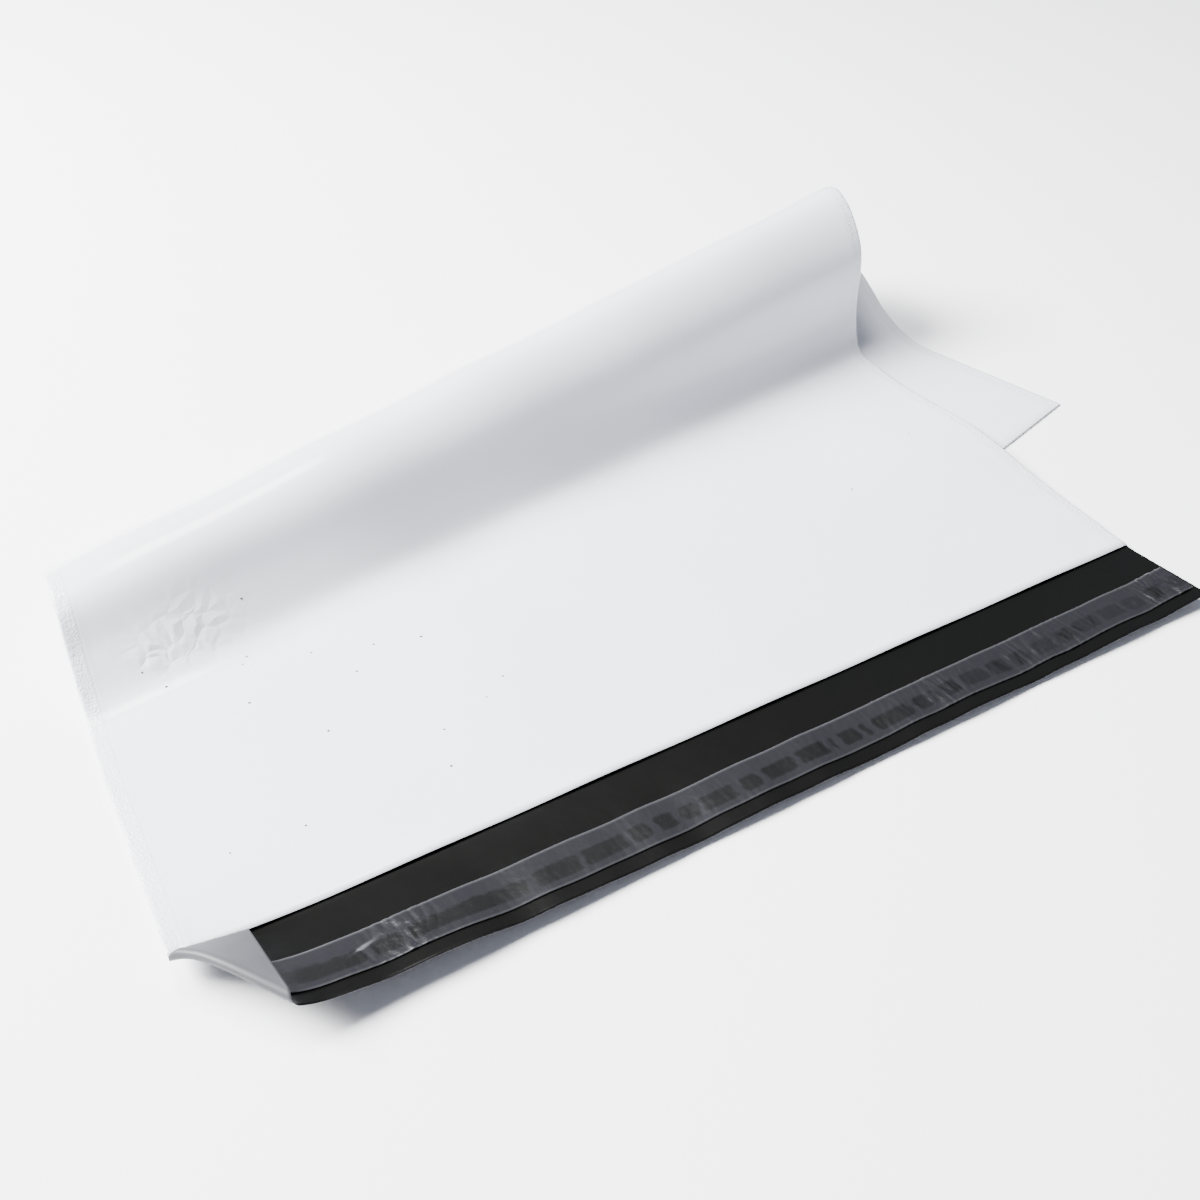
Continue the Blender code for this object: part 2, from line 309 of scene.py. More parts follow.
# Places across the bag, in millimetres, of the pale bars between the liner's windows.
WINDOW_BARS = (
    -179.0, -164.6, -114.1, -91.9, -70.7, -59.3, -48.0, -37.3, -19.1, -7.0, 10.8, 27.7, 32.5,
    44.3, 50.0, 73.0, 83.0, 89.1, 100.3, 116.8, 129.7, 142.9, 157.4, 170.6, 186.2, 201.4, 215.2,
    230.5,
)

# Blown polyethylene, its white outer layer: milky, with a soft sheen under a clear gloss.
WHITE_FILM = Finish("white_polyethylene_film", "DFE1E7", 0.36, 0.5, 0.45, 0.13)
WELD_ROUGHNESS = 0.20
# The white film on the flap's outer side, darkened to grey all over: painted shade for the turned
# corner, the only part of it in view. Two tints vary that painted shade at random.
FLAP_PAINTED_SHADE = Finish("white_film_painted_shade", "47474B", 0.50, 0.35)
FLAP_SHADE_TINTS = ("3A3A3E", "56565A")
# Carbon-black polyethylene, the inner layer: near black, with a dull sheen.
DARK_FILM = Finish("black_polyethylene_film", "080807", 0.30, 0.16)
# Hot-melt adhesive, rolled on: a flat dark band that hardly shines.
ADHESIVE = Finish("hot_melt_adhesive", "101011", 0.5, 0.25)
# Clear siliconised polyester over the strip: glassy, and dark where it lies tight.
LINER = Finish("siliconised_polyester_film", "1D1F24", 0.32, 0.30, 0.20, 0.16)
# Ramp stops: 0.0 the palest, for painted highlight on folds, rims and the glint; 0.3 the film; 0.6 its
# windows; 1.0 painted shade of the folds.
LINER_STOPS = ((0.0, "4C4D50"), (0.3, "19191C"), (0.6, "0A0A0A"), (1.0, "020202"))
LINER_ROUGHNESS = (0.26, 0.40)
# House dust: dull brown-grey grains.
DUST = Finish("dust", "4A4640", 0.8, 0.2)
# Matt white paper under the bag: bright, without a reflection.
PAPER = Finish("matt_paper", "FAFAFB", 0.75, 0.25)


def linear(colour: str) -> tuple[float, float, float, float]:
    """Convert an sRGB hex colour.

    Args:
        colour: Six hex digits.

    Returns:
        Linear red, green, blue and alpha.
    """
    parts = [int(colour[i:i + 2], 16) / 255.0 for i in (0, 2, 4)]
    made = [p / 12.92 if p <= 0.04045 else ((p + 0.055) / 1.055) ** 2.4 for p in parts]
    return (made[0], made[1], made[2], 1.0)


def cells(size: float) -> float:
    """Work out a pattern's scale.

    Args:
        size: Real size of one cell in millimetres.

    Returns:
        Cells in a metre.
    """
    return MM_IN_METRE / size


def ease(value: np.ndarray) -> np.ndarray:
    """Ease values from 0 to 1.

    Args:
        value: Any array.

    Returns:
        The eased array.
    """
    value = np.clip(value, 0.0, 1.0)
    return value * value * (3.0 - 2.0 * value)


def patches(u: np.ndarray, v: np.ndarray, made_of: Sequence[Patch]) -> np.ndarray:
    """Add patches of influence together.

    Args:
        u: Positions across.
        v: Positions along.
        made_of: The patches.

    Returns:
        The sum of their values.
    """
    return sum(patch.at(u, v) for patch in made_of)


def ripple(u: np.ndarray, v: np.ndarray, pitch: float, seed: Seed) -> np.ndarray:
    """A small sum of waves in several directions.

    Args:
        u: Positions across.
        v: Positions along.
        pitch: Mean wavelength.
        seed: Fixes the directions and phases.

    Returns:
        Values of about -1 to 1.
    """
    waves = 5
    rng = np.random.default_rng(seed.value)
    total = np.zeros_like(u)
    for _ in range(waves):
        way = rng.uniform(0.0, pi)
        wave = pitch * rng.uniform(0.7, 1.5)
        total += np.sin(2.0 * pi * (u * cos(way) + v * sin(way)) / wave + rng.uniform(0, 2 * pi))
    return total / waves


def creases(u: np.ndarray, v: np.ndarray, pitch: float, seed: Seed) -> np.ndarray:
    """Sharp small folds, as in crumpled film.

    Args:
        u: Positions across.
        v: Positions along.
        pitch: Mean spacing of the folds.
        seed: Fixes the directions and phases.

    Returns:
        Values of about -1 to 1.
    """
    sets, sway, sway_pitch = 4, 0.6, 2.3
    rng = np.random.default_rng(seed.value)
    total = np.zeros_like(u)
    for _ in range(sets):
        way = rng.uniform(0.0, pi)
        wave = pitch * rng.uniform(0.7, 1.6)
        bend = sway * np.sin(2.0 * pi * (v * cos(way) - u * sin(way)) / (wave * sway_pitch))
        phase = (u * cos(way) + v * sin(way)) / wave + rng.uniform(0, 1) + bend
        total += 1.0 - 2.0 * np.abs(2.0 * (phase - np.floor(phase)) - 1.0)
    return total / sets


class FoldMap:
    """Places any point of the flat bag in the folded one.

    Attributes:
        SAMPLES: Points along each end of the loop.
        LEAD: Points on the straight runs before and after it.
        PER_KEY: Points of the curve from one key point to the next.
        HALVINGS: Steps that find one row in the edge tables.
        PAST_BOTTOM: How far the tables run on past the bottom fold.
        STEP: Distance over which the normal is measured.
        LEAST: Smallest width of the corner's tip, as a share.
    """

    SAMPLES = 480
    LEAD = 39
    PER_KEY = 60
    HALVINGS = 11
    PAST_BOTTOM = 0.02
    STEP = 0.0008
    LEAST = 0.001

    def __init__(self, bag: BagSizes, fold: FoldSizes, form: ReliefSizes) -> None:
        """Prepare the two side edges and the corner's crease.

        Args:
            bag: Flat sizes.
            fold: Fold sizes.
            form: Sizes of the small forms.
        """
        self.bag = bag
        self.fold = fold
        self.form = form
        self.top = bag.body * 1.5 + fold.sheet_gap
        self.low = bag.body * 0.5
        self.along = np.array([cos(fold.turn), sin(fold.turn), 0.0])
        self.back = np.array([-sin(fold.turn), cos(fold.turn), 0.0])
        self.left_v, self.left_place = self.edge(self.loop_keys(Side.LEFT), -bag.half)
        self.right_v, self.right_place = self.edge(self.loop_keys(Side.RIGHT), bag.half)
        self.crease_a = np.array([-bag.half, fold.corner_side - bag.flap])
        crease_b = np.array([fold.corner_free - bag.half, -bag.flap])
        self.crease_long = float(np.linalg.norm(crease_b - self.crease_a))
        self.crease_run = (crease_b - self.crease_a) / np.linalg.norm(crease_b - self.crease_a)
        self.crease_out = np.array([self.crease_run[1], -self.crease_run[0]])
        tip = np.array([-bag.half, -bag.flap]) - self.crease_a
        self.corner_high = float(tip @ self.crease_out)
        self.corner_along = float(tip @ self.crease_run)
        self.shift = self.find_shift()

    def loop_keys(self, side: Side) -> list[tuple[float, float]]:
        """Key points of one end of the loop, as shares of its rise, fall and height.

        Args:
            side: Which end.

        Returns:
            Distances back and heights of the film's middle.
        """
        top, low, f = self.top, self.low, self.fold
        if side is Side.LEFT:
            foot, crest, back, high = f.left_foot, f.left_crest, f.left_back, f.left_height
            rise, fall = crest - foot, back - crest
            return [
                (foot - 0.030, top), (foot, top + 0.0005),
                (foot + 0.42 * rise, top + 0.42 * high), (foot + 0.70 * rise, 0.90 * high),
                (crest, high), (crest + 0.50 * fall, 0.70 * high),
                (back - 0.004, 0.30 * high), (back, 0.13 * high),
                (back - 0.010, low + 0.0004), (back - 0.040, low), (back - 0.070, low),
            ]
        foot, crest, back, high = f.right_foot, f.right_crest, f.right_back, f.right_height
        rise, fall, sole = crest - foot, back - crest, f.right_sole
        return [
            (foot - 1.07 * rise, top), (foot - 0.20 * rise, top + 0.010 * high),
            (foot + 0.16 * rise, top + 0.045 * high),
            (foot + 0.335 * rise, 0.30 * high), (foot + 0.50 * rise, 0.75 * high),
            (crest, high), (crest + 0.62 * fall, high - 0.36 * (high - sole)),
            (back, sole + 0.26 * (high - sole)), (crest + 0.45 * fall, sole),
            (crest - 0.16 * rise, 0.98 * sole), (foot + 0.40 * rise, 0.38 * sole),
            (foot + 0.02 * rise, low + 0.05 * sole), (foot - 0.50 * rise, low),
            (foot - 0.90 * rise, low),
        ]

    def spline(self, keys: Sequence[tuple[float, float]]) -> np.ndarray:
        """Run a smooth curve through key points, without overshoot where they are close.

        Args:
            keys: The key points.

        Returns:
            Points evenly spaced by length.
        """
        pts = np.array(keys)
        pts = np.vstack([2.0 * pts[0] - pts[1], pts, 2.0 * pts[-1] - pts[-2]])
        out = []
        for i in range(1, len(pts) - 2):
            p0, p1, p2, p3 = pts[i - 1:i + 3]
            t1 = np.linalg.norm(p1 - p0) ** 0.5
            t2 = t1 + np.linalg.norm(p2 - p1) ** 0.5
            t3 = t2 + np.linalg.norm(p3 - p2) ** 0.5
            t = (t1 + (t2 - t1) * np.arange(self.PER_KEY) / self.PER_KEY)[:, None]
            a1 = (t1 - t) / t1 * p0 + t / t1 * p1
            a2 = (t2 - t) / (t2 - t1) * p1 + (t - t1) / (t2 - t1) * p2
            a3 = (t3 - t) / (t3 - t2) * p2 + (t - t2) / (t3 - t2) * p3
            b1 = (t2 - t) / t2 * a1 + t / t2 * a2
            b2 = (t3 - t) / (t3 - t1) * a2 + (t - t1) / (t3 - t1) * a3
            out.append((t2 - t) / (t2 - t1) * b1 + (t - t1) / (t2 - t1) * b2)
        out.append(pts[-2][None, :])
        line = np.vstack(out)
        length = np.concatenate([[0.0], np.cumsum(np.linalg.norm(np.diff(line, axis=0), axis=1))])
        even = np.linspace(0.0, length[-1], self.SAMPLES)
        return np.stack([np.interp(even, length, line[:, 0]), np.interp(even, length, line[:, 1])], 1)

    def edge(self, keys: Sequence[tuple[float, float]], side: float) -> tuple[np.ndarray, np.ndarray]:
        """Lay one side edge.

        Args:
            keys: Key points of the loop at this edge.
            side: Position across.

        Returns:
            Flat distances along the edge and their places.
        """
        turn, twice = self.fold.turn, 2.0 * self.fold.crease
        loop = self.spline(keys)
        crest = int(np.argmax(loop[:, 1]))
        loop[:crest, 1] = np.maximum(loop[:crest, 1], self.top)
        loop[crest:, 1] = np.maximum(loop[crest:, 1], self.low)
        first = (loop[0, 0] + side * sin(turn)) / cos(turn)
        last = (twice - loop[-1, 0] + side * sin(turn)) / cos(turn)
        v_loop = np.linspace(first, last, self.SAMPLES)
        v_front = np.linspace(-2.0 * self.bag.flap, first, self.LEAD + 1)[:-1]
        v_under = np.linspace(last, self.bag.length + self.PAST_BOTTOM, self.LEAD + 1)[1:]
        v_all = np.concatenate([v_front, v_loop, v_under])
        back = np.concatenate([
            -side * sin(turn) + v_front * cos(turn), loop[:, 0],
            twice + side * sin(turn) - v_under * cos(turn),
        ])
        high = np.concatenate([0 * v_front + self.top, loop[:, 1], 0 * v_under + self.low])
        along = side * cos(turn) + v_all * sin(turn)
        place = along[:, None] * self.along + back[:, None] * self.back
        place[:, 2] += high
        return v_all, place

    def find_shift(self) -> np.ndarray:
        """Fit the map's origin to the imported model's box.

        Returns:
            The offset to add to each point.
        """
        corner = self.rest(np.array([self.bag.half]), np.array([self.bag.length]))[0][0]
        return np.array([CAD_HIGH.x - corner[0], CAD_LOW.y + self.bag.flap, 0.0])

    def seat(self, u: np.ndarray, v: np.ndarray) -> np.ndarray:
        """Find the row of the edge tables that passes each flat point.

        Args:
            u: Positions across.
            v: Positions along.

        Returns:
            Row numbers with their fraction.
        """
        part = (u + self.bag.half) / self.bag.width
        low = np.zeros(len(u), int)
        high = np.full(len(u), len(self.left_v) - 1)
        for _ in range(self.HALVINGS):
            middle = (low + high) // 2
            reach = self.left_v[middle] * (1.0 - part) + self.right_v[middle] * part
            under = reach <= v
            low = np.where(under, middle, low)
            high = np.where(under, high, middle)
        low = np.minimum(low, len(self.left_v) - 2)
        a = self.left_v[low] * (1.0 - part) + self.right_v[low] * part
        b = self.left_v[low + 1] * (1.0 - part) + self.right_v[low + 1] * part
        return low + np.clip((v - a) / (b - a), 0.0, 1.0)

    def rest(self, u: np.ndarray, v: np.ndarray) -> tuple[np.ndarray, np.ndarray]:
        """Place points of the middle surface, with the large soft forms.

        Args:
            u: Positions across.
            v: Positions along.

        Returns:
            Places, and the row of each point in the edge tables.
        """
        row = self.seat(u, v)
        low = np.minimum(row.astype(int), len(self.left_v) - 2)
        share = (row - low)[:, None]
        part = ((u + self.bag.half) / self.bag.width)[:, None]
        left = self.left_place[low] * (1.0 - share) + self.left_place[low + 1] * share
        right = self.right_place[low] * (1.0 - share) + self.right_place[low + 1] * share
        spot = left * (1.0 - part) + right * part
        return spot + self.loose(u, v), row

    def loose(self, u: np.ndarray, v: np.ndarray) -> np.ndarray:
        """Move of the loose film: rising flap, its waves and the edge hump.

        Args:
            u: Positions across.
            v: Positions along.

        Returns:
            Offsets, back and up.
        """
        f, half = self.fold, self.bag.half
        across = np.maximum(u + half, 0.0)
        near = ease((u - half + f.hump_across) / f.hump_across)
        lift = f.hump * near * np.exp(-((v - f.hump_at) / f.hump_reach) ** 2)
        inward = np.clip(v, 0.0, None) / f.mouth_reach
        lift += f.mouth_rise * np.exp(-across / f.mouth_reach - inward ** 2)
        out = np.clip(-v, 0.0, None)
        run = np.sqrt(out ** 2 + f.mouth_bend ** 2) - f.mouth_bend
        angle = f.curl * np.exp(-(across / f.curl_reach) ** f.curl_power)
        angle += f.rise * np.exp(-across / f.rise_reach)
        angle += f.bump * np.exp(-((across - f.bump_at) / f.bump_reach) ** 2)
        angle += f.right_rise * np.exp(-(half - u) / f.right_reach)
        wave = 0.5 - 0.5 * np.cos(2.0 * pi * (u + half) / f.wave_pitch)
        frill = 1.0 + f.frill_long_share * np.sin(across / f.frill_long)
        frill += f.frill_short_share * np.sin(across / f.frill_short + f.frill_phase)
        loose = f.wave * wave + f.frill * frill
        back = run * (1.0 - np.cos(angle))
        lift += run * np.sin(angle) + loose * ease(out / self.bag.flap)
        return np.stack([np.zeros_like(u), back, lift], axis=1)

    def relief(self, u: np.ndarray, v: np.ndarray, row: np.ndarray) -> np.ndarray:
        """Small forms of the panels, measured out from the front panel.

        Args:
            u: Positions across.
            v: Positions along.
            row: Row of each point in the edge tables.

        Returns:
            Distances along the normal.
        """
        f = self.form
        loop_end = self.LEAD + self.SAMPLES
        upper = ease((loop_end - f.under_rows - row) / f.under_fade)
        upper = upper * ease((v - f.mouth_bare) / f.mouth_fade)
        on_loop = ease((row - self.LEAD - f.foot_rows) / f.foot_fade) * upper
        made = f.swell * (1.0 + ripple(u, v, f.swell_pitch, Seed.SWELL)) * upper
        wave = ripple(u, v * f.loop_wave_stretch, f.loop_wave_pitch, Seed.LOOP_WAVE)
        made += f.loop_wave * on_loop * wave
        folds = creases(u, v, f.crinkle_pitch, Seed.CRINKLE)
        made += f.crinkle * patches(u, v, CRINKLES) * folds * upper
        folds = creases(u, v, f.scuff_pitch, Seed.SCUFF)
        made += f.scuff * patches(u, v, SCUFFS) * folds * upper
        return made

    def frame_at(self, u: np.ndarray, v: np.ndarray) -> tuple[np.ndarray, np.ndarray]:
        """Place the middle surface and its outward normal.

        Args:
            u: Positions across.
            v: Positions along.

        Returns:
            Places and unit normals, outward from the front panel.
        """
        here, row = self.rest(u, v)
        du = self.rest(u + self.STEP, v)[0] - self.rest(u - self.STEP, v)[0]
        dv = self.rest(u, v + self.STEP)[0] - self.rest(u, v - self.STEP)[0]
        normal = np.cross(du, dv)
        normal /= np.linalg.norm(normal, axis=1)[:, None]
        here = here + normal * self.relief(u, v, row)[:, None]
        return here + self.shift, normal

    def lay(self, u: np.ndarray, v: np.ndarray, level: np.ndarray) -> np.ndarray:
        """Lay flat points into the folded bag, the turned corner included.

        Args:
            u: Positions across.
            v: Positions along.
            level: Distances from the middle surface toward the front panel.

        Returns:
            Places.
        """
        fold, bag = self.fold, self.bag
        roll = fold.corner_roll
        end = pi * roll
        du, dv = u - self.crease_a[0], v - self.crease_a[1]
        past = du * self.crease_out[0] + dv * self.crease_out[1]
        along = du * self.crease_run[0] + dv * self.crease_run[1]
        folds = (past > 0.0) & (v < 0.0)
        above = level - bag.film_level

        # Past its crease the corner goes half round a roll and lies back on the flap.
        tip = np.clip((past - end) / (self.corner_high - end), 0.0, 1.0)
        along = self.corner_along + (along - self.corner_along) / np.maximum(1.0 - tip, self.LEAST)
        turn = np.clip(past, 0.0, end) / roll
        out = (roll - above) * np.sin(turn)
        rise = bag.film_level + roll - (roll - above) * np.cos(turn)
        height = np.where(folds, rise, level)[:, None]
        new_u = self.crease_a[0] + self.crease_run[0] * along + self.crease_out[0] * out
        new_v = self.crease_a[1] + self.crease_run[1] * along + self.crease_out[1] * out
        here, normal = self.frame_at(np.where(folds, new_u, u), np.where(folds, new_v, v))
        laid = here + normal * height

        # Toward the tip it straightens to the chord of its base line, and then to one point.
        share = np.where(folds, tip, 0.0)[:, None]
        rolled = end / self.corner_high
        first = self.corner_along * rolled
        last = self.crease_long * (1.0 - rolled) + first
        ends = self.crease_a + np.outer([first, last], self.crease_run)
        base, up = self.frame_at(ends[:, 0], ends[:, 1])
        part = np.clip((along - first) / (last - first), 0.0, 1.0)[:, None]
        chord = base[0] * (1.0 - part) + base[1] * part
        chord += (up[0] * (1.0 - part) + up[1] * part) * height
        laid = laid * (1.0 - share) + chord * share
        spot = np.array([fold.tip_across - bag.half, fold.tip_back, self.top + fold.tip_height])
        spot = np.tile(spot + self.shift, (len(u), 1))
        spot[:, 2] -= above
        return laid * (1.0 - share) + spot * share

    def ruling(self, row: float) -> tuple[float, float]:
        """Flat distances of one ruling of the loop at the two side edges.

        Args:
            row: Row of the edge tables.

        Returns:
            Distance at the left and at the right edge.
        """
        order = np.arange(len(self.left_v))
        return (
            float(np.interp(row, order, self.left_v)),
            float(np.interp(row, order, self.right_v)),
        )


def grid_object(name: str, columns: int, rows: int) -> bpy.types.Object:
    """Add a flat grid to be shaped.

    Args:
        name: Object name.
        columns: Vertices across.
        rows: Vertices along.

    Returns:
        The new object.
    """
    bpy.ops.object.select_all(action="DESELECT")
    bpy.ops.mesh.primitive_grid_add(x_subdivisions=columns - 1, y_subdivisions=rows - 1, size=1.0)
    made = bpy.context.active_object
    made.name = name
    made.data.name = name
    if len(made.data.vertices) != columns * rows:
        raise RuntimeError(f"{name}: the grid has {len(made.data.vertices)} vertices")
    return made


def set_places(item: bpy.types.Object, places: np.ndarray) -> None:
    """Move all vertices of an object.

    Args:
        item: The object.
        places: One place for each vertex.
    """
    item.data.vertices.foreach_set("co", places.astype(np.float32).ravel())
    item.data.update()


def set_value(item: bpy.types.Object, name: str, values: np.ndarray) -> None:
    """Store one number for each vertex.

    Args:
        item: The object.
        name: Attribute name.
        values: The numbers.
    """
    made = item.data.attributes.new(name, "FLOAT", "POINT")
    made.data.foreach_set("value", values.astype(np.float32))


def thicken(item: bpy.types.Object, wall: float, outer: int = 0) -> None:
    """Give a sheet its wall, half to each side, and shade it smooth.

    Args:
        item: The sheet.
        wall: Its thickness.
        outer: Material slots from a face to its outer side and rim.
    """
    bpy.ops.object.select_all(action="DESELECT")
    item.select_set(True)
    bpy.context.view_layer.objects.active = item
    solid = item.modifiers.new("wall", "SOLIDIFY")
    solid.thickness = wall
    solid.offset = 0.0
    solid.material_offset = outer
    solid.material_offset_rim = outer
    bpy.ops.object.modifier_apply(modifier=solid.name)
    bpy.ops.object.shade_smooth()


class Surface:
    """One material, made from its finish and dressed with nodes."""

    def __init__(self, finish: Finish) -> None:
        """Start from a finish.

        Args:
            finish: The plain values.
        """
        self.made = bpy.data.materials.new(finish.name)
        self.made.use_nodes = True
        self.made.diffuse_color = linear(finish.colour)
        self.tree = self.made.node_tree
        self.shader = self.tree.nodes["Principled BSDF"]
        self.connect(self.shader, {
            "Base Color": linear(finish.colour),
            "Roughness": finish.roughness,
            "Specular IOR Level": finish.specular,
            "Coat Weight": finish.coat,
            "Coat Roughness": finish.coat_roughness,
        })

    def connect(self, node: bpy.types.Node, inputs: Mapping[str | int, Any]) -> None:
        """Set inputs of a node, each to a value or to the output of another node.

        Args:
            node: The node.
            inputs: The value or output for each named or numbered input.
        """
        for name, value in inputs.items():
            if isinstance(value, bpy.types.NodeSocket):
                self.tree.links.new(value, node.inputs[name])
            else:
                node.inputs[name].default_value = value

    def node(self, kind: str, inputs: Mapping[str | int, Any], **settings: Any) -> bpy.types.Node:
        """Add a node with its settings and links.

        Args:
            kind: Type of the node, without the start that all types share.
            inputs: The value or output for each named or numbered input.
            settings: Values of the node's own settings.

        Returns:
            The node.
        """
        made = self.tree.nodes.new("ShaderNode" + kind)
        for name, value in settings.items():
            setattr(made, name, value)
        self.connect(made, inputs)
        return made

    def finish(self, layers: Sequence[tuple[Any, float, float]], **inputs: Any) -> bpy.types.Material:
        """Stack the layers of fine relief and link them and other inputs to the shader.

        Args:
            layers: Pattern, strength and height of each layer.
            inputs: Other inputs of the shader, with a low line for each space.

        Returns:
            The material.
        """
        stacked: dict[str, Any] = {}
        for pattern, strength, height in layers:
            layer = {"Height": pattern, "Strength": strength, "Distance": height}
            stacked = {"Normal": self.node("Bump", {**layer, **stacked}).outputs["Normal"]}
        self.connect(self.shader, stacked)
        self.connect(self.shader, {name.replace("_", " "): value for name, value in inputs.items()})
        return self.made


def white_surface() -> bpy.types.Material:
    """The bag's outer film.

    Returns:
        The material.
    """
    made = Surface(WHITE_FILM)
    place = made.node("TexCoord", {}).outputs["Object"]
    weld = made.node("Attribute", {}, attribute_name="weld").outputs["Fac"]
    crinkle = made.node("Attribute", {}, attribute_name="crinkle").outputs["Fac"]

    # The hot bar presses the welds smoother than the film beside them.
    rough = made.node("MapRange", {
        "Value": weld, "To Min": WHITE_FILM.roughness, "To Max": WELD_ROUGHNESS,
    })

    # The film's slack waves, and a grain too fine to show, drawn at 0.7 mm.
    wave = made.node("TexNoise", {"Vector": place, "Scale": cells(26.3), "Detail": 3.0})
    grain = made.node("TexNoise", {"Vector": place, "Scale": cells(0.714), "Detail": 2.0})

    # Crumpled film breaks into flat facets with sharp edges, about 9 mm apart.
    bend = made.node("TexNoise", {"Vector": place, "Scale": cells(17.4)})
    bent = made.node("Mix", {
        "Factor": 0.012, "A": place, "B": bend.outputs["Color"],
    }, data_type="VECTOR")
    facets = made.node("TexVoronoi", {
        "Vector": bent.outputs["Result"], "Scale": cells(8.70),
    }, feature="DISTANCE_TO_EDGE")
    crumpled = made.node("Math", {0: crinkle, 1: facets.outputs["Distance"]}, operation="MULTIPLY")

    # The weld's ribs, about 1 mm apart.
    ribs = made.node("TexNoise", {"Vector": place, "Scale": cells(1.11), "Detail": 2.0})
    ribbed = made.node("Math", {0: weld, 1: ribs.outputs["Fac"]}, operation="MULTIPLY")
    return made.finish([
        (wave.outputs["Fac"], 0.20, 0.0010),
        (grain.outputs["Fac"], 0.05, 0.0002),
        (crumpled.outputs["Value"], 0.60, 0.0024),
        (ribbed.outputs["Value"], 0.60, 0.0008),
    ], Roughness=rough.outputs["Result"])


def flap_painted_shade_surface() -> bpy.types.Material:
    """The flap's outer side: the white film painted grey, as painted shade on the turned corner.

    Returns:
        The material.
    """
    made = Surface(FLAP_PAINTED_SHADE)
    place = made.node("TexCoord", {}).outputs["Object"]

    # The painted shade varies at random over it, in clouds of about 18 mm.
    clouds = made.node("TexNoise", {"Vector": place, "Scale": cells(18.2), "Detail": 3.0})
    tint = made.node("Mix", {
        "Factor": clouds.outputs["Fac"], "A": linear(FLAP_SHADE_TINTS[0]), "B": linear(FLAP_SHADE_TINTS[1]),
    }, data_type="RGBA")
    wave = made.node("TexNoise", {"Vector": place, "Scale": cells(16.7), "Detail": 4.0})
    grain = made.node("TexNoise", {"Vector": place, "Scale": cells(0.714), "Detail": 2.0})
    return made.finish([
        (wave.outputs["Fac"], 0.22, 0.0012),
        (grain.outputs["Fac"], 0.05, 0.0002),
    ], Base_Color=tint.outputs["Result"])


def dark_surface() -> bpy.types.Material:
    """The bag's inner film, with slack waves and a fine grain.

    Returns:
        The material.
    """
    made = Surface(DARK_FILM)
    place = made.node("TexCoord", {}).outputs["Object"]
    wave = made.node("TexNoise", {"Vector": place, "Scale": cells(16.7), "Detail": 4.0})
    grain = made.node("TexNoise", {"Vector": place, "Scale": cells(1.11), "Detail": 2.0})
    return made.finish([
        (wave.outputs["Fac"], 0.25, 0.0012),
        (grain.outputs["Fac"], 0.06, 0.0002),
    ])


def liner_surface() -> bpy.types.Material:
    """The glossy liner with its darker windows.

    Returns:
        The material.
    """
    made = Surface(LINER)
    place = made.node("TexCoord", {}).outputs["Object"]
    shade = made.node("Attribute", {}, attribute_name="shade").outputs["Fac"]
    crumple = made.node("Attribute", {}, attribute_name="crumple").outputs["Fac"]
    # The ramp turns the shade values into colour, painted shade and painted highlight included.
    tint = made.node("ValToRGB", {"Fac": shade})
    points = tint.color_ramp.elements
    while len(points) < len(LINER_STOPS):
        points.new(0.5)
    for point, (at, colour) in zip(points, LINER_STOPS):
        point.position = at
        point.color = linear(colour)
    rough = made.node("MapRange", {
        "Value": shade, "To Min": LINER_ROUGHNESS[0], "To Max": LINER_ROUGHNESS[1],
    })

    # Slack of about 5 mm all over, and sharper creases of 4 mm where it is crumpled.
    slack = made.node("TexNoise", {"Vector": place, "Scale": cells(4.55), "Detail": 4.0})
    crease = made.node("TexNoise", {"Vector": place, "Scale": cells(3.85), "Detail": 5.0})
    creased = made.node("Math", {0: crumple, 1: crease.outputs["Fac"]}, operation="MULTIPLY")
    return made.finish([
        (slack.outputs["Fac"], 0.16, 0.0010),
        (creased.outputs["Value"], 0.5, 0.0012),
    ], Base_Color=tint.outputs["Color"], Roughness=rough.outputs["Result"])


@dataclass(frozen=True)
class Row:
    """One row of the web's vertices.

    Attributes:
        panel: The run of film that it lies on.
        left: Flat distance from the mouth at the left edge.
        right: The same at the right edge.
        face: Its level, from -1 on the back panel to 1 on the front.
    """

    panel: Panel
    left: float
    right: float
    face: float


@dataclass(frozen=True)
class WebPoints:
    """Flat places of the web's vertices, and what they lie on.

    Attributes:
        u: Positions across.
        v: Positions along.
        face: Levels, from -1 on the back panel to 1 on the front.
        weld: How far each point lies in a weld, from 0 to 1.
        from_edge: Distances from the nearer side edge.
        on_flap: Whether each point is on the flap.
        on_front: Whether each point is on the front panel.
    """

    u: np.ndarray
    v: np.ndarray
    face: np.ndarray
    weld: np.ndarray
    from_edge: np.ndarray
    on_flap: np.ndarray
    on_front: np.ndarray


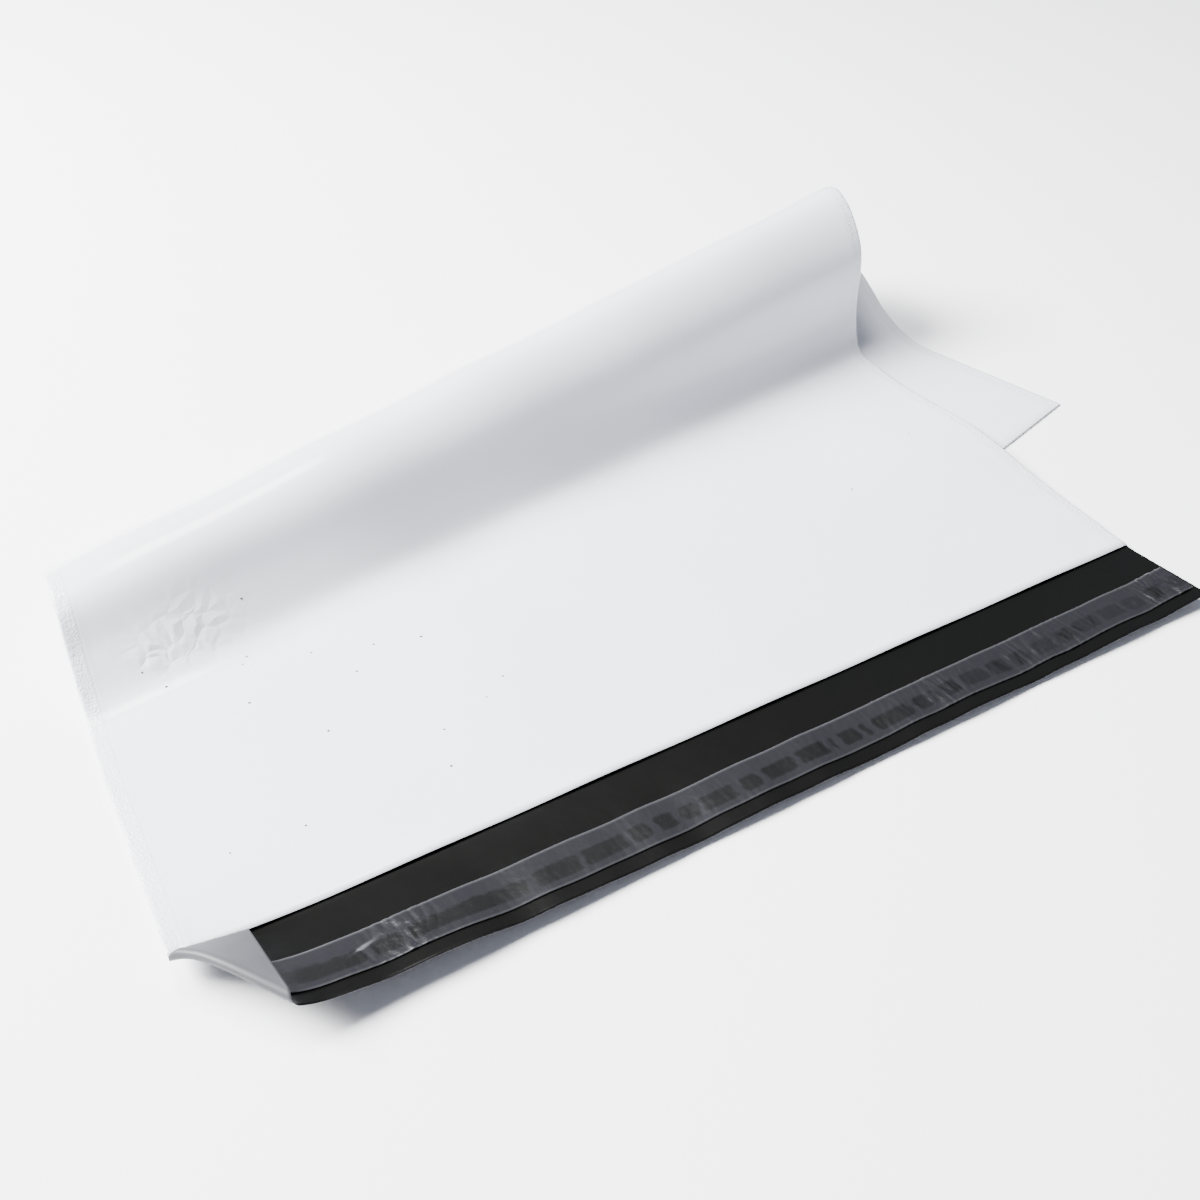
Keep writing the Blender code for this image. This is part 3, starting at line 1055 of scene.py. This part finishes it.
@dataclass
class FilmWeb:
    """The bag's film: flap, back panel, bottom fold and front panel in one web."""

    layout: FoldMap

    # Numbers of rows and columns, and the places of columns from an edge.
    flap_rows: int = 40
    flat_rows: int = 30
    loop_rows: int = 96
    under_rows: int = 12
    turn_angles: tuple[float, ...] = (-0.25, 0.0, 0.25)
    weld_columns: tuple[float, ...] = (0.0, 0.0009, 0.002, 0.0035, 0.005, 0.006, 0.0072)
    left_columns: int = 34
    left_span: tuple[float, float] = (0.0086, 0.052)
    columns: int = 82
    span_ends: tuple[float, float] = (0.0545, 0.0090)

    # The welds: how their inner side fades, and what is left between the panels.
    on_edge: float = 1e-6
    weld_past: float = 0.0012
    weld_fade: float = 0.0016
    weld_gap: float = 0.00018
    weld_start: float = -0.001

    # The ragged cut of the side edges.
    cut: float = 0.00012
    cut_pitch: float = 0.00055
    saw: float = 0.00022

    # Puckers beside the welds, up to where the film comes near the floor.
    pucker: float = 0.00042
    pucker_pitch: float = 0.0065
    pucker_stretch: float = 0.4
    fine_pitch: float = 0.0031
    fine_share: float = 0.6
    most_pucker: float = 1.3
    pucker_end: float = 0.0095
    pucker_fade: float = 0.004
    pucker_start: float = 0.001
    floor_rows: int = 160

    # The front panel's mouth stands a little open in waves.
    mouth_gap: float = 0.00025
    mouth_reach: float = 0.010
    mouth_pitch: float = 0.013

    def across(self) -> np.ndarray:
        """Positions of the vertex columns, closer in the welds and at the left.

        Returns:
            Sorted positions across the bag.
        """
        half = self.layout.bag.half
        edge = np.array(self.weld_columns)
        left = np.linspace(*self.left_span, self.left_columns)
        rest = np.linspace(self.span_ends[0], 2.0 * half - self.span_ends[1], self.columns)
        return np.concatenate([edge, left, rest, 2.0 * half - edge[::-1]]) - half

    def lines(self) -> list[tuple[float, float]]:
        """Rows of one panel from the mouth to the bottom fold.

        Returns:
            Flat distances of each row at the left and right edges.
        """
        layout, length = self.layout, self.layout.bag.length
        loop_end = layout.LEAD + layout.SAMPLES - 1
        first, last = layout.ruling(layout.LEAD), layout.ruling(loop_end)
        flat, under = self.flat_rows, self.under_rows
        made = [(first[0] * i / flat, first[1] * i / flat) for i in range(flat)]
        made += [layout.ruling(row) for row in np.linspace(layout.LEAD, loop_end, self.loop_rows)]
        for i in range(1, under + 1):
            part = i / under
            made.append((last[0] + (length - last[0]) * part, last[1] + (length - last[1]) * part))
        return made

    def rows(self) -> list[Row]:
        """All rows, from the flap's free edge round the bottom fold to the front's mouth.

        Returns:
            The rows in order.
        """
        bag, lines = self.layout.bag, self.lines()
        flap = [-bag.flap * (1.0 - i / self.flap_rows) for i in range(self.flap_rows)]
        made = [Row(Panel.FLAP, v, v, -1.0) for v in flap]
        made += [Row(Panel.BACK, left, right, -1.0) for left, right in lines]
        for angle in self.turn_angles:
            reach = bag.length + bag.panel_gap * cos(angle * pi)
            made.append(Row(Panel.TURN, reach, reach, sin(angle * pi)))
        return made + [Row(Panel.FRONT, left, right, 1.0) for left, right in reversed(lines)]

    def points(self, across: np.ndarray, rows: Sequence[Row]) -> WebPoints:
        """Place the vertices on the flat bag, with its welds and its ragged cut.

        Args:
            across: Positions of the columns.
            rows: The rows.

        Returns:
            The flat points.
        """
        bag, count = self.layout.bag, len(across)
        u = np.tile(across, len(rows))
        share = np.tile((across + bag.half) / bag.width, len(rows))
        left = np.repeat([row.left for row in rows], count)
        right = np.repeat([row.right for row in rows], count)
        face = np.repeat([row.face for row in rows], count)
        on_flap = np.repeat([row.panel is Panel.FLAP for row in rows], count)
        on_front = np.repeat([row.panel is Panel.FRONT for row in rows], count)
        v = left * (1.0 - share) + right * share
        from_edge = bag.half - np.abs(u)
        weld = ease((bag.weld + self.weld_past - from_edge) / self.weld_fade)
        weld = weld * (~on_flap) * (v > self.weld_start)
        rng = np.random.default_rng(Seed.CUT_EDGE.value)
        saw = rng.uniform(-1.0, 1.0, len(u)) * (from_edge < self.on_edge)
        cut = np.sin(v / self.cut_pitch) * self.cut * (from_edge < self.on_edge)
        u = u - np.sign(u) * (self.saw * np.abs(saw) + np.abs(cut))
        return WebPoints(u, v, face, weld, from_edge, on_flap, on_front)

    def level(self, at: WebPoints) -> np.ndarray:
        """Distances of the film from the middle surface.

        Args:
            at: The flat points.

        Returns:
            One level for each point.
        """
        bag, layout = self.layout.bag, self.layout
        inner = bag.panel_gap + bag.film
        level = at.face * (inner - at.weld * (inner - self.weld_gap))
        near_floor = layout.seat(at.u, at.v) > layout.LEAD + layout.SAMPLES - self.floor_rows
        pucker = ripple(at.u * self.pucker_stretch, at.v, self.pucker_pitch, Seed.PUCKER)
        pucker = pucker + self.fine_share * ripple(at.u, at.v, self.fine_pitch, Seed.FINE_PUCKER)
        band = ease((self.pucker_end - at.from_edge) / self.pucker_fade)
        band = band * ease(at.from_edge / self.pucker_start)
        swell = np.clip(0.5 + 0.5 * pucker, 0.0, self.most_pucker) * at.face
        level = level + self.pucker * swell * band * (~near_floor) * (~at.on_flap)
        mouth = np.exp(-(at.v / self.mouth_reach) ** 2) * at.on_front
        open_by = self.mouth_gap * mouth * (1.0 + np.sin(at.u / self.mouth_pitch))
        return level + open_by * (1.0 - at.weld)

    def dress(self, made: bpy.types.Object, at: WebPoints) -> None:
        """Give the film its materials and the values that they read.

        The web's own faces become the dark inner side, and the outer side and the
        rim take the next slot.

        Args:
            made: The film.
            at: The flat points.
        """
        set_value(made, "weld", at.weld)
        crinkle = patches(at.u, at.v, FINE_CRINKLES)
        set_value(made, "crinkle", np.clip(crinkle, 0.0, 1.0) * (~at.on_flap))
        dark = dark_surface()
        for surface in (dark, white_surface(), dark, flap_painted_shade_surface()):
            made.data.materials.append(surface)
        # Flap faces take the dark inner film, and their outer side takes the grey painted shade.
        on_flap = at.on_flap[np.array([face.vertices[0] for face in made.data.polygons])]
        slots = np.where(on_flap, 2, 0).astype(np.int32)
        made.data.polygons.foreach_set("material_index", slots)

    def build(self) -> bpy.types.Object:
        """Make the film.

        Returns:
            The finished object.
        """
        across, rows = self.across(), self.rows()
        at = self.points(across, rows)
        made = grid_object("mailer_film", len(across), len(rows))
        set_places(made, self.layout.lay(at.u, at.v, self.level(at)))
        self.dress(made, at)
        thicken(made, self.layout.bag.film, outer=1)
        return made


@dataclass
class Band:
    """A long thin film on the flap's inner side. By itself it is the adhesive strip.

    Attributes:
        layout: The shared map.
        name: Object name.
        inset: Bare flap at each end.
        over: Reach past each side of the strip.
        height: Its middle above the flap's.
        wall: Its thickness.
        step: Spacing of its columns.
        rows: Number of its rows.
    """

    layout: FoldMap
    name: str
    inset: float
    over: float
    height: float
    wall: float
    step: float
    rows: int

    @property
    def low(self) -> float:
        """Flat distance of the side toward the free edge."""
        bag = self.layout.bag
        return -bag.strip_from_mouth - bag.strip_width - self.over

    def lay(self, u: np.ndarray, v: np.ndarray) -> np.ndarray:
        """Lay the band on the flap.

        Args:
            u: Positions across the bag.
            v: Positions along the bag.

        Returns:
            Places.
        """
        level = self.layout.bag.film_level + self.height
        return self.layout.lay(u, v, np.full(len(u), level))

    def mark(self, made: bpy.types.Object, u: np.ndarray, v: np.ndarray) -> None:
        """Store what the material reads, which a plain band has nothing of."""

    def build(self, surface: bpy.types.Material) -> bpy.types.Object:
        """Make the band.

        Args:
            surface: Its material.

        Returns:
            The finished object.
        """
        bag = self.layout.bag
        columns = int((bag.width - 2.0 * self.inset) / self.step)
        across = np.linspace(-bag.half + self.inset, bag.half - self.inset, columns)
        along = np.linspace(self.low, -bag.strip_from_mouth + self.over, self.rows)
        u, v = np.tile(across, self.rows), np.repeat(along, columns)
        made = grid_object(self.name, columns, self.rows)
        set_places(made, self.lay(u, v))
        self.mark(made, u, v)
        made.data.materials.append(surface)
        thicken(made, self.wall)
        return made


@dataclass
class Liner(Band):
    """The release liner: a creased band with darker windows between pale bars."""

    # Its creases, and the waves of its two long sides.
    crease: float = 0.00070
    crease_pitch: float = 0.0095
    crease_stretch: float = 0.25
    side_wave: float = 0.0004
    side_pitch: float = 0.040

    # How crumpled it is: all over, to the right, at one spot and at its right end.
    least_crumple: float = 0.12
    most_crumple: float = 1.3
    right_crumple: float = 0.75
    right_from: float = -0.01
    right_fade: float = 0.16
    right_pitch: float = 0.011
    spot_crumple: float = 0.8
    spot_at: float = -0.165
    spot_reach: float = 0.014
    end_crumple: float = 1.2
    end_reach: float = 0.016

    # The windows: their middle and half height over the liner's low side, corners and
    # fading outline, the bars' half widths, lean and wobble, and the ragged long sides.
    window_middle: float = 0.0080
    window_half: float = 0.0039
    window_corner: float = 0.0014
    window_fade: float = 0.0008
    window_wave: float = 0.0004
    window_pitch: float = 0.013
    bar_halves: tuple[float, float] = (0.0011, 0.0019)
    bar_lean: float = 0.10
    bar_foot: float = 0.009
    bar_wobble: float = 0.0004
    wobble_pitches: tuple[float, float] = (0.0011, 0.004)
    ragged: float = 0.0009
    ragged_pitch: float = 0.0042
    left_end: float = -0.108
    left_fade: float = 0.01
    left_less: float = 0.0006
    faint_from: float = 0.03
    faint_fade: float = 0.12
    faint_by: float = 0.55

    # The small folds that cross it, drawn in colour as strokes of painted shade and painted highlight.
    folds: int = 46
    fold_places: tuple[float, float] = (-0.095, 0.225)
    fold_slants: tuple[float, float] = (-0.35, 0.45)
    fold_offsets: tuple[float, float] = (-0.002, 0.002)
    fold_widths: tuple[float, float] = (0.0005, 0.0013)
    fold_halves: tuple[float, float] = (0.0018, 0.0045)
    dark_above: float = 0.35

    # Shades from 0, the palest, to 1, the darkest: the film and its windows, the folds' painted shade
    # and painted highlight, the rims' painted highlight and one painted glint.
    film_shade: float = 0.30
    window_shade: float = 0.30
    fold_painted_shade: float = 0.42
    fold_painted_highlight: float = -0.16
    rim_painted_highlight: float = 0.09
    rims: tuple[float, float] = (0.0009, 0.0011)
    rim_fade: float = 0.0004
    glint_shade: float = 0.5
    glint_at: tuple[float, float] = (-0.181, 0.003)
    glint_reach: tuple[float, float] = (0.0045, 0.0007)
    glint_slant: float = 0.3

    def crumple(self, u: np.ndarray) -> np.ndarray:
        """How much the liner is crumpled along its length.

        Args:
            u: Positions across the bag.

        Returns:
            Values from 0 to the most.
        """
        right = ease((u - self.right_from) / self.right_fade)
        right = right * (0.65 + 0.35 * np.sin(u / self.right_pitch))
        spot = np.exp(-((u - self.spot_at) / self.spot_reach) ** 2)
        end = np.exp(-((self.layout.bag.half - u) / self.end_reach) ** 2)
        made = self.least_crumple + self.right_crumple * right + self.spot_crumple * spot
        return np.clip(made + self.end_crumple * end, 0.0, self.most_crumple)

    def lay(self, u: np.ndarray, v: np.ndarray) -> np.ndarray:
        """Lay the liner on the strip, with its creases and its wavy sides.

        Args:
            u: Positions across the bag.
            v: Positions along the bag.

        Returns:
            Places.
        """
        bag = self.layout.bag
        middle = -bag.strip_from_mouth - bag.strip_width / 2.0
        wavy = self.side_wave * ripple(u, v * 0, self.side_pitch, Seed.LINER_EDGE)
        folds = creases(u, v * self.crease_stretch, self.crease_pitch, Seed.LINER_CREASE)
        level = bag.film_level + self.height + self.crease * (np.abs(folds) * self.crumple(u))
        return self.layout.lay(u, v + wavy * np.sign(v - middle), level)

    def window(self, u: np.ndarray, v: np.ndarray, high: np.ndarray,
               rng: np.random.Generator) -> np.ndarray:
        """Draw the windows between the bars.

        Args:
            u: Positions across the bag.
            v: Positions along the bag.
            high: Heights over the windows' middle.
            rng: Source of the bars' widths.

        Returns:
            Values from 0 on the film to 1 in a window.
        """
        lean = u + self.bar_lean * (v - self.low - self.bar_foot)
        lean = lean + self.bar_wobble * np.sin(v / self.wobble_pitches[0] + u / self.wobble_pitches[1])
        bars = np.array(WINDOW_BARS) / MM_IN_METRE
        halves = rng.uniform(*self.bar_halves, len(bars))
        gap = np.min(np.abs(lean[:, None] - bars) - halves, axis=1)
        at_left = ease((self.left_end - u) / self.left_fade)
        ragged = self.ragged * ripple(u, v * 0.0, self.ragged_pitch, Seed.WINDOW_EDGE)
        ragged = ragged * (0.25 + 0.9 * at_left)
        upper = ragged - self.left_less * at_left
        reach = self.window_half + np.where(high > 0.0, upper, 0.25 * ragged)
        dx = np.maximum(self.window_corner - gap, 0.0)
        dy = np.maximum(np.abs(high) - reach + self.window_corner, 0.0)
        return ease(0.5 + (self.window_corner - np.sqrt(dx ** 2 + dy ** 2)) / self.window_fade)

    def mark(self, made: bpy.types.Object, u: np.ndarray, v: np.ndarray) -> None:
        """Store the pattern of windows and bars, with painted shade and painted highlight on the small
        folds, painted highlight on the rims and one painted glint.

        Args:
            made: The liner.
            u: Positions across the bag.
            v: Positions along the bag.
        """
        rng = np.random.default_rng(Seed.WINDOWS.value)
        crumple = self.crumple(u)
        folded = np.clip(crumple, 0.0, 1.0)
        high = v - self.low - self.window_middle - self.window_wave * np.sin(u / self.window_pitch)
        faint = 1.0 - self.faint_by * ease((u - self.faint_from) / self.faint_fade)
        shade = self.film_shade + self.window_shade * self.window(u, v, high, rng) * faint
        # Each fold is a stroke of painted shade or painted highlight, stronger where the liner is
        # crumpled.
        for _ in range(self.folds):
            place, slant = rng.uniform(*self.fold_places), rng.uniform(*self.fold_slants)
            across = np.abs(u - place - slant * (high - rng.uniform(*self.fold_offsets)))
            wide, tall = rng.uniform(*self.fold_widths), rng.uniform(*self.fold_halves)
            stroke = ease(1.3 - across / wide) * ease(1.5 - np.abs(high) / tall)
            painted_fold_light = self.fold_painted_shade if rng.random() > self.dark_above else self.fold_painted_highlight
            shade = shade + painted_fold_light * stroke * folded
        # A thin painted highlight along both long sides of the liner.
        width = self.layout.bag.strip_width + 2.0 * self.over
        rim = ease((v - self.low - width + self.rims[1]) / self.rim_fade)
        rim += ease((self.low + self.rims[0] - v) / self.rim_fade)
        shade = shade - self.rim_painted_highlight * np.clip(rim, 0.0, 1.0)
        beside = u - self.glint_at[0]
        above = high - self.glint_at[1] - self.glint_slant * beside
        glint = np.exp(-(beside / self.glint_reach[0]) ** 2 - (above / self.glint_reach[1]) ** 2)
        set_value(made, "shade", np.clip(shade - self.glint_shade * glint, 0.0, 1.0))
        set_value(made, "crumple", crumple)


@dataclass
class Flecks:
    """Small grains of dust on the front panel.

    Attributes:
        layout: The shared map.
        least: Smallest radius of a grain.
        spread: How much larger the largest is.
        flatness: Height of a grain as a share of its width.
        above: Height of its middle over the film.
        spots: Places across and along the bag in millimetres.
    """

    layout: FoldMap
    least: float = 0.00030
    spread: float = 0.00022
    flatness: float = 0.45
    above: float = 0.00016
    spots: tuple[tuple[float, float], ...] = (
        (-163, 186), (-115, 122), (-94, 114), (-128, 108), (-142, 134), (-169, 150),
        (-172, 145), (-206, 150), (-214, 164), (-176, 114), (-152, 80), (-109, 56),
        (-85, 64), (-73, 72), (-115, 36), (-178, 36), (-208, 38), (206, 126), (149, 104),
    )

    def build(self, surface: bpy.types.Material) -> bpy.types.Object:
        """Make the grains as one object.

        Args:
            surface: Their material.

        Returns:
            The finished object.
        """
        bag = self.layout.bag
        raised = bag.panel_gap + 1.5 * bag.film + self.above
        made = []
        rng = np.random.default_rng(Seed.FLECKS.value)
        for across, along in self.spots:
            u, v = np.array([across / MM_IN_METRE]), np.array([along / MM_IN_METRE])
            here, normal = self.layout.frame_at(u, v)
            radius = self.least + self.spread * rng.random()
            bpy.ops.object.select_all(action="DESELECT")
            bpy.ops.mesh.primitive_ico_sphere_add(subdivisions=1, radius=radius)
            item = bpy.context.active_object
            turn = Vector(normal[0]).to_track_quat("Z", "Y").to_matrix().to_4x4()
            flat = Matrix.Diagonal((1.0 + rng.random(), 1.0, self.flatness, 1.0))
            place = Matrix.Translation(Vector(here[0] + normal[0] * raised))
            item.data.transform(place @ turn @ flat)
            made.append(item)
        bpy.ops.object.select_all(action="DESELECT")
        for item in made:
            item.select_set(True)
        bpy.context.view_layer.objects.active = made[0]
        bpy.ops.object.join()
        joined = bpy.context.active_object
        joined.name = "dirt_flecks"
        joined.data.materials.append(surface)
        return joined


@dataclass(frozen=True)
class Lamp:
    """A square soft light.

    Attributes:
        name: Object name.
        place: Its place.
        aim: The point that it faces.
        size: Its side.
        power: Its power in watts.
    """

    name: str
    place: tuple[float, float, float]
    aim: tuple[float, float, float]
    size: float
    power: float

    def build(self) -> None:
        """Hang the light."""
        data = bpy.data.lights.new(self.name, "AREA")
        data.shape = "SQUARE"
        data.size = self.size
        data.energy = self.power
        item = bpy.data.objects.new(self.name, data)
        item.location = self.place
        way = Vector(self.aim) - Vector(self.place)
        item.rotation_euler = way.to_track_quat("-Z", "Y").to_euler()
        bpy.context.scene.collection.objects.link(item)


@dataclass
class Studio:
    """Floor, lights and camera.

    Attributes:
        layout: The shared map, for its offset.
        floor_size: Side of the floor.
        floor_level: Height of the floor.
        sky: Colour of the surroundings.
        sky_strength: Their brightness.
        lamps: The soft lights.
        camera_at: Place of the camera from the middle of the mouth.
        heading: Its turn from straight back toward the right.
        down: How far it looks down.
        lens: Its focal length in millimetres.
        sensor: Width of its sensor in millimetres.
        clip: Nearest and farthest distance that it sees.
    """

    layout: FoldMap
    floor_size: float = 30.0
    floor_level: float = -0.0002
    sky: str = "E4EBFF"
    sky_strength: float = 0.34
    lamps: tuple[Lamp, ...] = (
        Lamp("behind", (-1.50, 0.95, 1.70), (0.0, 0.02, 0.0), 1.2, 430.0),
        Lamp("above", (-0.15, 0.60, 1.90), (-0.1, 0.05, 0.0), 0.5, 42.0),
    )
    camera_at: tuple[float, float, float] = (-0.2340, -0.2934, 0.3978)
    heading: float = radians(30.0)
    down: float = radians(41.3)
    lens: float = 37.62
    sensor: float = 36.0
    clip: tuple[float, float] = (0.01, 50.0)

    def floor(self) -> None:
        """Lay a pale floor."""
        bpy.ops.object.select_all(action="DESELECT")
        spot = (0.0, 0.0, self.floor_level)
        bpy.ops.mesh.primitive_plane_add(size=self.floor_size, location=spot)
        item = bpy.context.active_object
        item.name = "floor"
        item.data.materials.append(Surface(PAPER).made)

    def surroundings(self) -> None:
        """Set the light from all round."""
        world = bpy.context.scene.world or bpy.data.worlds.new("surroundings")
        bpy.context.scene.world = world
        world.use_nodes = True
        shade = world.node_tree.nodes["Background"]
        shade.inputs["Color"].default_value = linear(self.sky)
        shade.inputs["Strength"].default_value = self.sky_strength

    def camera(self) -> None:
        """Place the camera where the photograph was taken from."""
        data = bpy.data.cameras.new("camera")
        data.lens = self.lens
        data.sensor_width = self.sensor
        data.clip_start, data.clip_end = self.clip
        item = bpy.data.objects.new("camera", data)
        item.location = Vector(self.camera_at) + Vector(self.layout.shift)
        level = cos(self.down)
        ahead = Vector((sin(self.heading) * level, cos(self.heading) * level, -sin(self.down)))
        item.rotation_euler = ahead.to_track_quat("-Z", "Y").to_euler()
        bpy.context.scene.collection.objects.link(item)
        bpy.context.scene.camera = item

    def build(self) -> None:
        """Set up everything round the bag."""
        self.floor()
        self.surroundings()
        for lamp in self.lamps:
            lamp.build()
        self.camera()


def report(item: bpy.types.Object) -> None:
    """Log one finished piece.

    Args:
        item: The piece.
    """
    LOG.info("%s: %d faces", item.name, len(item.data.polygons))


def main() -> None:
    """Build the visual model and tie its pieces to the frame."""
    logging.basicConfig(level=logging.INFO)
    layout = FoldMap(BAG, FOLD, RELIEF)
    film = FilmWeb(layout).build()
    report(film)
    strip = Band(
        layout, "adhesive_band", inset=BAG.strip_inset, over=0.0, height=0.00032, wall=0.00014,
        step=0.003, rows=7,
    )
    adhesive = strip.build(Surface(ADHESIVE).made)
    report(adhesive)
    cover = Liner(
        layout, "liner_band", inset=BAG.liner_inset, over=BAG.liner_over, height=0.00056,
        wall=0.00008, step=0.0006, rows=30,
    )
    liner = cover.build(liner_surface())
    report(liner)
    flecks = Flecks(layout).build(Surface(DUST).made)
    report(flecks)

    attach(film, "root")
    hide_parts("film_bag")
    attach(adhesive, "root")
    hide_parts("adhesive_strip")
    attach(liner, "root")
    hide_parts("release_liner")
    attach(flecks, "root")

    Studio(layout).build()


if __name__ == "__main__":
    main()
